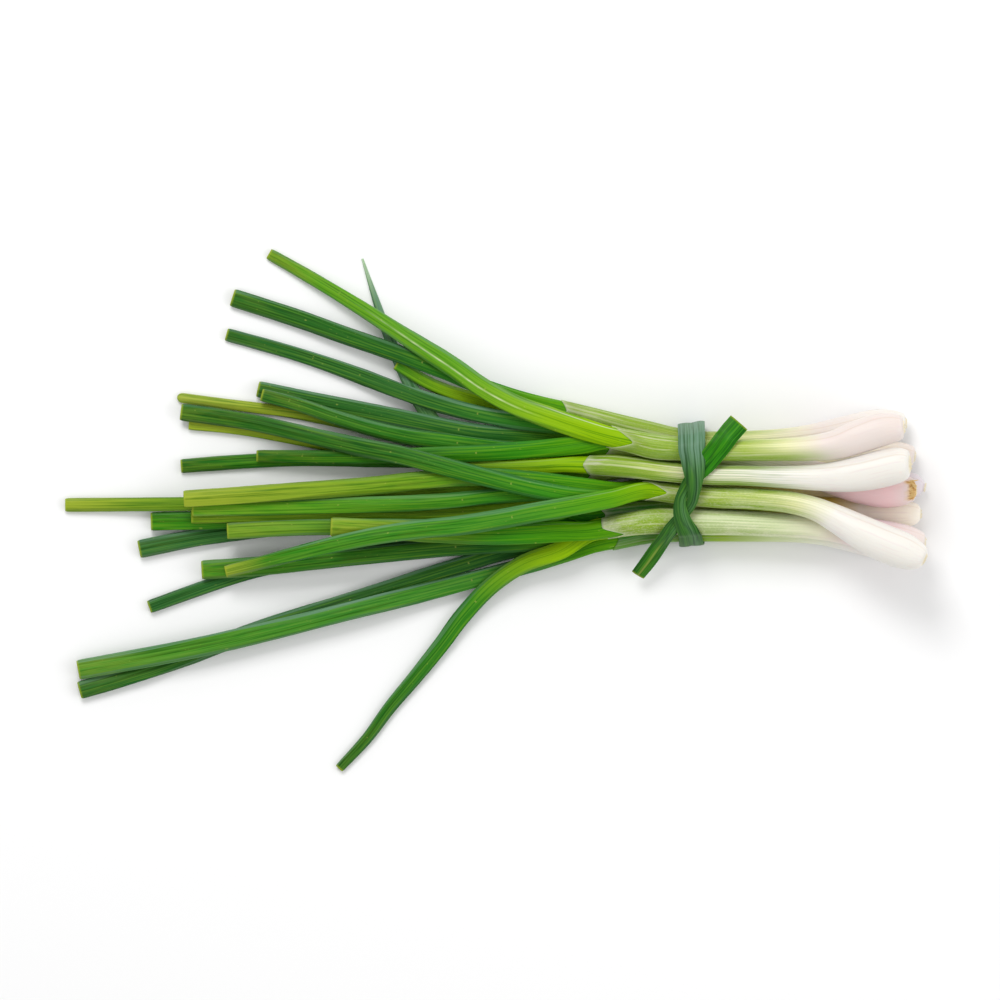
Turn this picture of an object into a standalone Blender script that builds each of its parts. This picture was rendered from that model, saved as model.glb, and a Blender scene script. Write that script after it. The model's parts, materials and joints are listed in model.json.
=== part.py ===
"""A spring onion bunch: ten young onions lying in a heap, tied round the stems with one green leaf.

Metres, +Z up. The bunch rests on z = 0, with its bulbs towards +X. Every piece has a plan, as seen from above,
of points chosen by hand in millimetres. The heights are worked out: the pieces are laid down one after another,
and each one sags onto those below it.
"""

import bmesh
import bpy
import numpy as np
from mathutils.geometry import convex_hull_2d

MM = 0.001

# Clearance between pieces that lie on each other, in millimetres like all sizes below
GAP = 0.35

# Bulbs and stems
STEM_SIDES = 10
STEM_FLATNESS = 0.9
BULB_STATIONS = (0, 2, 5, 9, 14, 20, 27)
STEM_STEP = 10.5
ROOT_PLATE_RINGS = ((1.1, 0.6), (0.5, 0.85))

# Leaves
LEAF_SIDES = 8
LEAF_FLATNESS = 0.58
LEAF_STEP = 15.0
LEAF_LEAD = 5.0
LEAF_OPENING_LENGTH = 26.0
LEAF_ROUNDING_LENGTH = 95.0
FLAT_HALF_HEIGHT = 1.1
ROOT_WIDTHS = {"outer": 0.78, "middle": 0.95}
WALL = 0.8
HOLLOW_DEPTH = 7.0
CUT_LEAN = 0.35
POINT_HALF_HEIGHT = 0.32

# The tie, a flat leaf that goes once round the stems
TIE_WRAP_X = ((0.0, 78.4), (0.2, 78.4), (0.7, 80.0), (1.0, 77.8))
TIE_WRAP_WIDTH = ((0.0, 10.8), (0.75, 10.8), (1.0, 9.0))
TIE_THICKNESS = 1.2
TIE_GAP = 0.3
TIE_BAND = (70.5, 86.5)
TIE_EDGE = 0.35
TIE_STEP = 3.0
TIE_TURN_MARGIN = 0.06
HULL_SECTIONS = 5
HULL_ANGLES = 24

# Laying: the grid of heights, and how the pieces bend. A stiffness is in mm^4, for a weight of 1 to the mm.
CELL = 0.25
GRID_LOW = np.array((-185.0, -120.0))
GRID_HIGH = np.array((185.0, 120.0))
SAMPLE_STEP = 1.5
ACROSS = np.linspace(-1.0, 1.0, 17)
STEM_STIFFNESS = 5e6
LEAF_STIFFNESS = 1e5
LEAF_FREE_LENGTH = 3.0
NO_NEED = -1000.0
ROOT_HOLD = 1e6
SOFT_GROUND = 1e-3
PRESSES = np.geomspace(0.01, 1e4, 60)
LIFTING_ROUNDS = 300
LARGEST_SHORTFALL = 0.0025

# Edges sharper than this, in degrees, are drawn sharp
SHARP_ANGLE = 50

# x, y and width of each bulb and stem, from the root plate to the collar where the leaves begin
STEMS = {
    "onion_01": (
        (171, -14, 9), (164, -13.8, 11.4), (154, -13.2, 11.6), (142, -11.2, 10), (130, -9, 9),
        (114, -8.2, 8.4), (98, -8.2, 8.2), (78, -8.2, 8.2), (62, -8.8, 8.4), (49.6, -11.2, 8.2),
    ),
    "onion_02": (
        (170, -1.2, 8.8), (163.2, -1, 11), (154, -1, 11.2), (142, -0.2, 9.6), (130, 0.8, 8.8),
        (114, 1, 8.2), (98, 0.9, 8.2), (78, 0.8, 8.2), (62, 0.3, 8.4), (44.4, -1.6, 8.2),
    ),
    "onion_03": (
        (167.6, 21.8, 8.8), (160.8, 22.6, 10.6), (150, 22.4, 10.8), (138, 21.4, 10), (126, 20.2, 9),
        (114, 19.2, 8.4), (98, 18.8, 8.2), (78, 18.8, 8.2), (62, 18.2, 8.4), (50, 17, 8.2), (38.4, 15.2, 8),
    ),
    "onion_04": (
        (164, 35, 9), (156, 34.8, 12), (142, 33, 11), (130, 30.6, 9.6), (114, 28.6, 8.6),
        (98, 27.9, 8.4), (78, 28.2, 8.4), (62, 31.6, 8.6), (50, 34.4, 8.6), (38, 37.6, 8.2), (28.8, 40, 7.8),
    ),
    "onion_05": (
        (171.6, 9.4, 8.6), (164, 10.6, 10.8), (154, 10.8, 10.8), (142, 10.4, 9.8), (130, 10.4, 8.8),
        (114, 10, 8.2), (98, 9.8, 8.2), (78, 9.8, 8.2), (62, 9.4, 8.2), (48, 7, 8),
    ),
    "onion_06": (
        (171.2, -12.8, 9), (164, -12, 12.8), (154, -10.4, 13.6), (142, -8, 11.6), (130, -6.4, 10),
        (114, -5.6, 9.6), (98, -4.8, 10), (78, -4.4, 10.4), (62, -4.2, 10), (44.8, -6.8, 8.8),
    ),
    "onion_07": (
        (167.6, 8.4, 9.6), (162, 8.4, 13), (154.8, 8.4, 14), (142, 10.8, 12.4), (130, 14, 10.4),
        (114, 17.6, 9.2), (98, 20.8, 8.8), (78, 23.2, 8.8), (62, 24.4, 8.8), (46, 24.8, 8),
    ),
    "onion_08": (
        (170.8, -19.2, 9.6), (164, -16.4, 14), (154, -12.4, 14.8), (142, -6.4, 12.8), (130, 0, 9.6),
        (118, 3.4, 8.8), (102, 4.8, 8.4), (82, 5.8, 8.2), (66.8, 7.6, 7.8),
    ),
    "onion_09": (
        (165.6, 18.8, 12), (160, 18.2, 14.4), (154, 16.8, 15), (142, 14.4, 13.6), (130, 13.4, 10.8),
        (114, 13.6, 8.8), (98, 14.2, 8), (82, 14.6, 8), (62, 16.5, 8.2), (50, 18, 8.8), (36, 18.4, 7.6),
    ),
    "onion_10": (
        (162.4, 33.4, 10.4), (154, 32.4, 13.2), (146, 30, 13.4), (134, 26, 11.6), (122, 24.8, 9.6),
        (110, 24.4, 8.8), (82, 24.4, 8.4), (62, 26, 10), (53.2, 28, 9),
    ),
}

# Each leaf's colour, its widths near the collar, midway and at the tip, and x and y from the collar to the tip
LEAVES = {
    "onion_01_leaf_1": ("dark", (6.5, 7.2, 7.2), (
        (26, -12.8), (2, -17.2), (-18, -23.2), (-58, -36), (-98, -48.8), (-138, -63.6), (-166, -71.6))),
    "onion_01_leaf_2": ("mid", (6.5, 7.6, 7.8), (
        (26, -18), (-6, -26.8), (-58, -40), (-118, -54.4), (-166.4, -63.6))),
    "onion_02_leaf_1": ("dark", (5.8, 6, 5.4), (
        (22, -8.6), (-18, -12.6), (-58, -16.8), (-94, -23.6), (-118, -31.2), (-138, -38.4))),
    "onion_02_leaf_2": ("dark", (5.8, 7, 7.2), (
        (22, -2.4), (-18, -5), (-58, -5.2), (-98, -7.6), (-122, -11.2), (-142, -15.2))),
    "onion_02_leaf_3": ("dark", (5.8, 7.2, 7.6), (
        (22, 1.8), (-18, -0.2), (-58, -1.6), (-98, -3.2), (-137.2, -4.4))),
    "onion_03_leaf_1": ("yellow", (5.8, 5.8, 5.2), (
        (22, 11), (10, 10.2), (-18, 7.2), (-38, 5.6), (-78, 3.6), (-124.8, 2.8), (-171.6, 2.4))),
    "onion_03_leaf_2": ("yellow", (5.5, 5, 4), (
        (22, 17.2), (2, 21.2), (-18, 25.6), (-38, 30), (-58, 34.8), (-78, 38.8), (-98, 41.6), (-126.8, 45.6))),
    "onion_03_leaf_3": ("mid", (6, 6.2, 0.8), (
        (18, 17.2), (-2, 21.2), (-18, 28.8), (-28, 40.4), (-36, 54.8), (-42.8, 70.4), (-48.8, 87.6),
        (-53.2, 101.2))),
    "onion_04_leaf_1": ("yellow", (5.5, 5.6, 5), (
        (10, 40.4), (-6, 44), (-18, 47.6), (-26, 50.8), (-32, 54), (-39, 58.4))),
    "onion_04_leaf_2": ("dark", (6.5, 6.8, 7), (
        (18, 42.8), (2, 47.2), (-18, 55.2), (-38, 62.8), (-58, 69.6), (-78, 76.8), (-104.6, 85.4))),
    "onion_05_leaf_1": ("yellow", (5.8, 6, 5.6), (
        (30, 4.4), (16, 2.6), (-18, -0.6), (-58, -1), (-98, -2), (-120.8, -2.4))),
    "onion_05_leaf_2": ("mid", (5.8, 7, 6.4), (
        (30, 1), (12, -4.6), (-18, -6.6), (-58, -6.4), (-78, -6.6), (-106.4, -8))),
    "onion_05_leaf_3": ("mid", (5.8, 6.6, 6.4), (
        (30, 7.2), (10, 6.6), (-18, 4), (-58, 2.2), (-98, 1.2), (-120.4, 0.8))),
    "onion_06_leaf_1": ("dark", (6.5, 7, 7.6), (
        (22, -11.6), (-18, -14.6), (-58, -18.4), (-98, -22.4), (-116.8, -23.6))),
    "onion_06_leaf_2": ("mid", (7.4, 7, 3.8), (
        (33, -12.6), (26, -16), (10, -22), (-3.2, -31.6), (-12, -41.2), (-26, -59.6), (-40.4, -76.4),
        (-52, -92), (-62, -102.8))),
    "onion_06_leaf_3": ("yellow", (8.4, 8, 8), (
        (22, -8.4), (0, -9.6), (-26, -8.4), (-46, -7.2), (-64.8, -6.4))),
    "onion_07_leaf_1": ("dark", (6.5, 7.2, 6.6), (
        (22, 29.2), (2, 30.4), (-18, 33.2), (-38, 37.2), (-58, 41.2), (-78, 45.2), (-94.4, 48.8))),
    "onion_07_leaf_2": ("mid", (6, 6.4, 5.4), (
        (26, 24), (10, 24.4), (-18, 27.6), (-38, 30.4), (-58, 35.6), (-78, 42.4), (-92.8, 46.4))),
    "onion_08_leaf_1": ("yellow", (6.5, 7.6, 6.8), (
        (56, 8.2), (42, 9.2), (22, 11.6), (2, 13.6), (-18, 13.2), (-38, 11.2), (-58, 9.6), (-98, 6.4),
        (-123.6, 4.8))),
    "onion_08_leaf_2": ("dark", (6.5, 7.4, 6.6), (
        (46, 5.2), (22, 7.6), (2, 12), (-18, 17.2), (-38, 22.4), (-58, 26.4), (-78, 31.2), (-98, 35.6),
        (-125.2, 39.6))),
    "onion_08_leaf_3": ("mid", (8, 8, 5), (
        (42, 3.6), (22, 0.4), (2, -3.2), (-18, -6.4), (-38, -8.4), (-58, -12), (-78, -16.8), (-107.2, -24))),
    "onion_09_leaf_1": ("mid", (5.5, 6, 5.4), (
        (22, 18.4), (2, 19.2), (-18, 20), (-38, 20.4), (-58, 20.8), (-78, 20.8), (-98, 20), (-125.2, 18))),
    "onion_09_leaf_2": ("yellow", (5.5, 5.6, 5), (
        (22, 18), (2, 17.2), (-18, 18.4), (-38, 21.6), (-58, 25.2), (-78, 28.8), (-98, 32.4), (-122, 34.8))),
    "onion_10_leaf_1": ("dark", (6.5, 6.8, 5), (
        (38, 32), (22, 34.4), (2, 37.2), (-18, 41.6), (-38, 48), (-58, 55.6), (-78, 62.4), (-107, 70.6))),
    "onion_10_leaf_2": ("mid", (7.4, 6.6, 4.8), (
        (42, 28), (22, 25.2), (2, 23.6), (-18, 22.8), (-38, 22), (-58, 21.6), (-94.8, 22))),
    "onion_10_leaf_3": ("yellow", (8.8, 7.8, 4.4), (
        (42, 30.8), (22, 37.2), (2, 45.2), (-18, 58.4), (-38, 71.2), (-58, 84), (-78, 96), (-90, 102.8))),
}
POINTED_LEAF = "onion_03_leaf_3"

# From the bottom of the heap to the top. A plant's leaves come in the order that they leave its collar.
LAYING_ORDER = (
    "onion_01", "onion_02", "onion_05", "onion_03", "onion_04",
    "onion_01_leaf_1", "onion_01_leaf_2", "onion_02_leaf_1", "onion_02_leaf_2", "onion_02_leaf_3",
    "onion_03_leaf_1", "onion_03_leaf_2", "onion_03_leaf_3", "onion_04_leaf_1", "onion_04_leaf_2",
    "onion_06", "onion_07",
    "onion_06_leaf_1", "onion_06_leaf_2", "onion_05_leaf_1", "onion_05_leaf_2", "onion_06_leaf_3",
    "onion_05_leaf_3", "onion_07_leaf_1", "onion_07_leaf_2",
    "onion_08", "onion_09", "onion_10",
    "onion_10_leaf_1", "onion_09_leaf_1", "onion_09_leaf_2", "onion_08_leaf_1", "onion_10_leaf_2",
    "onion_08_leaf_2", "onion_08_leaf_3", "onion_10_leaf_3",
)

# The tie's two strands above the stems: x, y, height above the stems' hull, and width. The first runs from its
# free end to the upper edge of the bunch, and the second from the lower edge to its free end.
FIRST_STRAND = (
    (57.2, -25.6, -9, 5.8), (61.5, -20, -6, 6.4), (65.6, -14, -2.6, 6.4), (69.9, -8, -0.2, 6), (74.2, -2.4, 0, 5),
    (78.4, 3.2, 0.5, 4.4), (79.4, 8.6, 1.9, 5.4), (79.4, 13.6, 2.1, 7.8), (79, 20, 0.8, 9.8), (78.4, 25, 0, 10.8),
)
SECOND_STRAND = (
    (77.4, -8.8, 0.9, 8.8), (75.2, -4.4, 2.1, 7), (73.9, 0, 2, 5.8), (73.9, 4.2, 0.9, 4.6), (76, 9, 0, 5),
    (79.6, 14, 0, 6.8), (84.2, 19.2, 0, 8.4), (88.9, 25, 0.2, 8.8), (93.5, 31, 4.6, 8.8), (97.3, 35.3, 3.8, 8.8),
)

# Linear base colour and roughness of each kind of surface
FINISHES = {
    "stem": ((0.75, 0.80, 0.55), 0.35),
    "dark": ((0.035, 0.16, 0.03), 0.45),
    "mid": ((0.09, 0.28, 0.02), 0.42),
    "yellow": ((0.25, 0.42, 0.03), 0.42),
    "tie": ((0.03, 0.15, 0.045), 0.5),
}


def clear_scene():
    for thing in list(bpy.data.objects):
        bpy.data.objects.remove(thing)


def make_finish(name):
    colour, roughness = FINISHES[name]
    finish = bpy.data.materials.new(name)
    finish.use_nodes = True
    shader = finish.node_tree.nodes["Principled BSDF"]
    shader.inputs["Base Color"].default_value = (*colour, 1.0)
    shader.inputs["Roughness"].default_value = roughness
    shader.inputs["Metallic"].default_value = 0.0
    return finish


def fair_curve(points, distances):
    """Rows of a smooth curve through the given rows, at distances measured along the chords of their plan."""
    chords = np.hypot(*np.diff(points[:, :2], axis=0).T)
    knots = np.concatenate([[0.0], np.cumsum(chords)])
    slopes = np.gradient(points, knots, axis=0)
    span = np.clip(np.searchsorted(knots, distances, "right") - 1, 0, len(chords) - 1)
    length = chords[span][:, None]
    t = (distances - knots[span])[:, None] / length
    leaving = (2 * t**3 - 3 * t**2 + 1) * points[span] + (t**3 - 2 * t**2 + t) * length * slopes[span]
    arriving = (3 * t**2 - 2 * t**3) * points[span + 1] + (t**3 - t**2) * length * slopes[span + 1]
    return leaving + arriving


def plan_length(points):
    return np.hypot(*np.diff(points[:, :2], axis=0).T).sum()


def even_distances(start, end, step):
    return np.linspace(start, end, max(2, round((end - start) / step) + 1))


class Tube:
    """A piece with upright elliptical sections at stations along its plan."""

    def __init__(self, plan, half_width, half_height):
        self.plan = plan
        self.half_width = half_width
        self.half_height = half_height
        self.height = half_height.copy()
        steps = np.diff(plan, axis=0)
        steps /= np.linalg.norm(steps, axis=1)[:, None]
        heading = np.vstack([steps[:1], steps[:-1] + steps[1:], steps[-1:]])
        self.heading = heading / np.linalg.norm(heading, axis=1)[:, None]
        self.side = np.column_stack([self.heading[:, 1], -self.heading[:, 0]])
        self.distance = np.concatenate([[0.0], np.cumsum(np.hypot(*np.diff(plan, axis=0).T))])

    def samples(self, step):
        """Places along the tube, each as the station before it and its share of the next one."""
        places = np.append(np.arange(0.0, self.distance[-1], step), self.distance[-1])
        station = np.searchsorted(self.distance, places, "right") - 1
        station = np.clip(station, 0, len(self.plan) - 2)
        share = (places - self.distance[station]) / np.diff(self.distance)[station]
        return places, station, share

    def ring(self, station, sides):
        angles = np.arange(sides) * 2 * np.pi / sides
        across = self.side[station] * self.half_width[station]
        spots = self.plan[station] + np.outer(np.cos(angles), across)
        heights = self.height[station] + np.sin(angles) * self.half_height[station]
        return np.column_stack([spots, heights])


def between(values, station, share):
    share = share if values.ndim == 1 else share[:, None]
    return values[station] * (1 - share) + values[station + 1] * share


class Heap:
    """The tops of the pieces laid so far, on a square grid seen from above."""

    def __init__(self):
        size = np.round((GRID_HIGH - GRID_LOW) / CELL).astype(int)
        self.top = np.full(size, -GAP)
        first, last = ((edge - GRID_LOW[0]) / CELL for edge in TIE_BAND)
        self.top[round(first):round(last)] = TIE_THICKNESS

    def cells(self, spots):
        return np.round((spots - GRID_LOW) / CELL).astype(int).T

    def under(self, spots):
        column, row = self.cells(spots)
        around = [self.top[column + i, row + j] for i in (-1, 0, 1) for j in (-1, 0, 1)]
        return np.max(around, axis=0)

    def add(self, tube):
        _, station, share = tube.samples(CELL / 2)
        middle = between(tube.height, station, share)
        half_height = between(tube.half_height, station, share)
        steps_across = int(2 * tube.half_width.max() / (CELL / 2)) + 1
        for t in np.linspace(-1.0, 1.0, steps_across):
            spots = between(tube.plan + t * tube.side * tube.half_width[:, None], station, share)
            column, row = self.cells(spots)
            np.maximum.at(self.top, (column, row), middle + half_height * np.sqrt(1 - t * t))


def needed_heights(heap, tube, station, share):
    """The least height of the tube's axis at each sample that keeps it clear of what lies below."""
    half_height = between(tube.half_height, station, share)
    need = np.full(len(station), -np.inf)
    for t in ACROSS:
        spots = between(tube.plan + t * tube.side * tube.half_width[:, None], station, share)
        need = np.maximum(need, heap.under(spots) + GAP + half_height * np.sqrt(1 - t * t))
    return need


def lifted(height, need, contact):
    """The heights raised where the tube would dip below what it needs, and the largest shortfall."""
    short = np.clip(need - contact @ height, 0, None)
    shares = contact / (contact**2).sum(axis=1)[:, None]
    return height + (shares * short[:, None]).max(axis=0), short.max()


def bent_heights(tube, need, contact, stiffness, root):
    """Heights of a springy tube that bends under its own weight onto what lies below it."""
    count = len(tube.plan)
    spacing = np.diff(tube.distance)
    slopes = np.diff(np.eye(count), axis=0) / spacing[:, None]
    bends = np.diff(slopes, axis=0) / np.sqrt((spacing[:-1] + spacing[1:]) / 2)[:, None]
    weight = np.gradient(tube.distance)
    system = stiffness * bends.T @ bends + SOFT_GROUND * np.diag(weight)
    force = -weight
    if root is not None:
        height, slope = root
        system[0, 0] += ROOT_HOLD
        force[0] += ROOT_HOLD * height
        system += stiffness / spacing[0] * np.outer(slopes[0], slopes[0])
        force += stiffness / spacing[0] * slope * slopes[0]
    heights = np.full(count, need.max())
    for press in PRESSES:
        touching = contact @ heights < need
        rows = contact[touching]
        heights = np.linalg.solve(system + press * rows.T @ rows, force + press * rows.T @ need[touching])
    return heights


def lay(heap, tube, stiffness, root=None):
    """Lays the tube on the heap. A leaf's root keeps the height and slope of its collar."""
    places, station, share = tube.samples(SAMPLE_STEP)
    need = needed_heights(heap, tube, station, share)
    if root is not None:
        need[places < LEAF_FREE_LENGTH] = NO_NEED
    contact = np.zeros((len(need), len(tube.plan)))
    contact[np.arange(len(need)), station] = 1 - share
    contact[np.arange(len(need)), station + 1] = share
    height = bent_heights(tube, need, contact, stiffness, root)
    for _ in range(LIFTING_ROUNDS):
        height, short = lifted(height, need, contact)
        if root is not None:
            height[0] = root[0]
        if short < LARGEST_SHORTFALL:
            break
    tube.height = height
    heap.add(tube)


def stem_tube(name):
    points = np.array(STEMS[name], float)
    length = plan_length(points)
    along_stem = even_distances(BULB_STATIONS[-1], length, STEM_STEP)[1:]
    rows = fair_curve(points, np.concatenate([BULB_STATIONS, along_stem]))
    half_width = rows[:, 2] / 2
    return Tube(rows[:, :2], half_width, half_width * STEM_FLATNESS)


def leaf_tube(name, stem, rank, count):
    """A leaf of the stem's plant, the given rank from the bottom of the count that share its collar."""
    _, (near, midway, tip), points = LEAVES[name]
    collar, heading = stem.plan[-1], stem.heading[-1]
    start = [collar + heading * GAP, collar + heading * LEAF_LEAD]
    points = np.vstack([start, points])
    length = plan_length(points)
    distances = np.concatenate([[0.0], even_distances(LEAF_LEAD - GAP, length, LEAF_STEP)])
    plan = fair_curve(points, distances)

    place = "middle" if 0 < rank < count - 1 or count == 1 else "outer"
    root_half_width = stem.half_width[-1] * ROOT_WIDTHS[place]
    root_half_height = stem.half_height[-1] / count - GAP / 2
    half_width = np.interp(distances, (LEAF_OPENING_LENGTH, length / 2, length), (near / 2, midway / 2, tip / 2))
    round_half_height = np.maximum(half_width * LEAF_FLATNESS, POINT_HALF_HEIGHT)
    opened = np.clip(distances / LEAF_OPENING_LENGTH, 0, 1)
    half_width = root_half_width + (half_width - root_half_width) * opened
    flat_half_height = root_half_height + (FLAT_HALF_HEIGHT - root_half_height) * opened
    rounded = np.clip(distances / LEAF_ROUNDING_LENGTH, 0, 1) ** 2
    half_height = flat_half_height + (round_half_height - flat_half_height) * rounded
    return Tube(plan, half_width, half_height)


def plant_leaves(plant):
    return [name for name in LAYING_ORDER if name.startswith(plant + "_leaf")]


def leaf_root(stem, rank, count):
    """Height and slope of a leaf where it leaves its collar, which it shares with the others one above another."""
    share_of_collar = (2 * rank + 1) / count - 1
    slope = (stem.height[-1] - stem.height[-2]) / (stem.distance[-1] - stem.distance[-2])
    return stem.height[-1] + share_of_collar * stem.half_height[-1], slope


def lay_bunch(heap):
    """Lays every stem and leaf in order, and returns the tubes by name."""
    tubes = {}
    for name in LAYING_ORDER:
        if name in STEMS:
            tube = stem_tube(name)
            lay(heap, tube, STEM_STIFFNESS)
        else:
            plant = name.split("_leaf")[0]
            stem, leaves = tubes[plant], plant_leaves(plant)
            rank, count = leaves.index(name), len(leaves)
            tube = leaf_tube(name, stem, rank, count)
            lay(heap, tube, LEAF_STIFFNESS, leaf_root(stem, rank, count))
        tubes[name] = tube
    return tubes


def make_object(name, rings, finish):
    """One closed body through rings of points in millimetres, with its origin at its first ring's middle."""
    rings = np.asarray(rings)
    origin = rings[0].mean(axis=0)
    shape = bmesh.new()
    loops = [[shape.verts.new((point - origin) * MM) for point in ring] for ring in rings]
    for low, high in zip(loops, loops[1:]):
        for i, vertex in enumerate(low):
            shape.faces.new((vertex, low[i - 1], high[i - 1], high[i]))
    shape.faces.new(loops[0])
    shape.faces.new(loops[-1])
    bmesh.ops.recalc_face_normals(shape, faces=shape.faces)
    mesh = bpy.data.meshes.new(name)
    shape.to_mesh(mesh)
    shape.free()
    mesh.materials.append(finish)
    mesh.shade_smooth()
    mesh.set_sharp_from_angle(angle=np.radians(SHARP_ANGLE))
    thing = bpy.data.objects.new(name, mesh)
    thing.location = origin * MM
    bpy.context.scene.collection.objects.link(thing)
    return thing


def stem_rings(tube):
    """The bulb and stem, with a low trimmed root plate on the bulb's end."""
    rings = [tube.ring(station, STEM_SIDES) for station in range(len(tube.plan))]
    middle = rings[0].mean(axis=0)
    outward = np.array([*-tube.heading[0], 0.0])
    plate = [middle + (rings[0] - middle) * scale + outward * reach for reach, scale in ROOT_PLATE_RINGS]
    return plate + rings


def leaf_rings(name, tube):
    """The leaf, whose cut tip leans back so that its hollow shows from above."""
    rings = [tube.ring(station, LEAF_SIDES) for station in range(len(tube.plan))]
    if name == POINTED_LEAF:
        return rings
    middle = rings[-1].mean(axis=0)
    back = rings[-2].mean(axis=0) - middle
    back /= np.linalg.norm(back)
    lean = np.array([*-tube.heading[-1], 0.0]) * CUT_LEAN
    scale = np.array([1 - WALL / tube.half_width[-1]] * 2 + [1 - WALL / tube.half_height[-1]])
    inner = middle + (rings[-1] - middle) * scale
    rings[-1] = rings[-1] + np.outer(rings[-1][:, 2] - middle[2], lean)
    inner += np.outer(inner[:, 2] - middle[2], lean)
    return rings + [inner, inner + back * HOLLOW_DEPTH]


def stem_hull(tubes):
    """The tie's middle line round the stems in y and z, as a closed loop, and with a flat run along the ground."""
    reach = TIE_GAP + TIE_THICKNESS / 2
    angles = np.linspace(0, 2 * np.pi, HULL_ANGLES, endpoint=False)
    points = []
    lowest = []
    for name in STEMS:
        tube = tubes[name]
        order = np.argsort(tube.plan[:, 0])
        for x in np.linspace(*TIE_BAND, HULL_SECTIONS):
            columns = (tube.plan[:, 1], tube.height, tube.half_width, tube.half_height)
            y, z, half_width, half_height = (np.interp(x, tube.plan[order, 0], c[order]) for c in columns)
            points += [(y + np.cos(a) * (half_width + reach), z + np.sin(a) * (half_height + reach)) for a in angles]
            lowest.append((z - half_height, y))
    on_ground = [y for z, y in lowest if z < 2 * TIE_THICKNESS]
    points += [(min(on_ground), TIE_THICKNESS / 2), (max(on_ground), TIE_THICKNESS / 2)]
    return np.array([points[i] for i in convex_hull_2d(points)])


def strand_rows(strand, hull, heap):
    """A strand's x, y, z and width at even steps, from its heights above the hull and clear of the heap."""
    ridge = hull[hull[:, 1] > hull[:, 1].mean()]
    ridge = ridge[np.argsort(ridge[:, 0])]
    rows = np.array(strand, float)
    rows[:, 2] += np.interp(rows[:, 1], ridge[:, 0], ridge[:, 1])
    rows = fair_curve(rows, even_distances(0, plan_length(rows), TIE_STEP))
    heading = np.gradient(rows[:, :2], axis=0)
    side = np.column_stack([heading[:, 1], -heading[:, 0]]) / np.linalg.norm(heading, axis=1)[:, None]
    for t in ACROSS:
        top = heap.under(rows[:, :2] + t * side * rows[:, 3:] / 2)
        rows[:, 2] = np.maximum(rows[:, 2], top + TIE_GAP + TIE_THICKNESS / 2)
    return rows


def tie_rows(tubes, heap):
    """The tie's path: over the knot, round the far side, underneath, up the near side, and over the knot again."""
    hull = stem_hull(tubes)
    first = strand_rows(FIRST_STRAND, hull, heap)
    second = strand_rows(SECOND_STRAND, hull, heap)
    centre = hull.mean(axis=0)

    def turned(y, z):
        return np.arctan2(z - centre[1], y - centre[0])

    start = turned(first[-1, 1], first[-1, 2])
    end = turned(second[0, 1], second[0, 2])
    angles = (start - turned(hull[:, 0], hull[:, 1])) % (2 * np.pi)
    whole = (start - end) % (2 * np.pi)
    kept = (angles > TIE_TURN_MARGIN) & (angles < whole - TIE_TURN_MARGIN)
    wrap = hull[kept][np.argsort(angles[kept])]
    share = np.sort(angles[kept]) / whole
    x = np.interp(share, *zip(*TIE_WRAP_X))
    width = np.interp(share, *zip(*TIE_WRAP_WIDTH))
    return np.vstack([first, np.column_stack([x, wrap, width]), second])


def tie_rings(tubes, heap):
    rows = tie_rows(tubes, heap)
    steps = np.diff(rows[:, :3], axis=0)
    steps /= np.linalg.norm(steps, axis=1)[:, None]
    heading = np.vstack([steps[:1], steps[:-1] + steps[1:], steps[-1:]])
    heading /= np.linalg.norm(heading, axis=1)[:, None]
    across = np.array((1.0, 0.0, 0.0)) - heading * heading[:, :1]
    across /= np.linalg.norm(across, axis=1)[:, None]
    outward = np.cross(across, heading)
    rings = []
    for (*middle, width), side, out in zip(rows, across, outward):
        wide, thick = width / 2, TIE_THICKNESS / 2
        corners = ((wide, thick - TIE_EDGE), (wide - TIE_EDGE, thick))
        corners += tuple((-u, v) for u, v in reversed(corners))
        corners += tuple((-u, -v) for u, v in corners)
        rings.append([np.array(middle) + u * side + v * out for u, v in corners])
    return rings


def build_bunch():
    clear_scene()
    finishes = {name: make_finish(name) for name in FINISHES}
    bunch = bpy.data.objects.new("bunch", None)
    bpy.context.scene.collection.objects.link(bunch)
    heap = Heap()
    tubes = lay_bunch(heap)
    pieces = [make_object("leaf_tie", tie_rings(tubes, heap), finishes["tie"])]
    for name, tube in tubes.items():
        if name in STEMS:
            pieces.append(make_object(name + "_stem", stem_rings(tube), finishes["stem"]))
        else:
            pieces.append(make_object(name, leaf_rings(name, tube), finishes[LEAVES[name][0]]))
    for piece in pieces:
        piece.parent = bunch


build_bunch()
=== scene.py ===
"""The looks of a tied bunch of spring onions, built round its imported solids.

Each solid lends its centre line and its widths to a finer skin that takes its place: veined leaves with
hollow cut ends, bulbs with papery layers and trimmed roots, sheaths that open where the leaves leave
them, and the tie.
"""

import json

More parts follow.
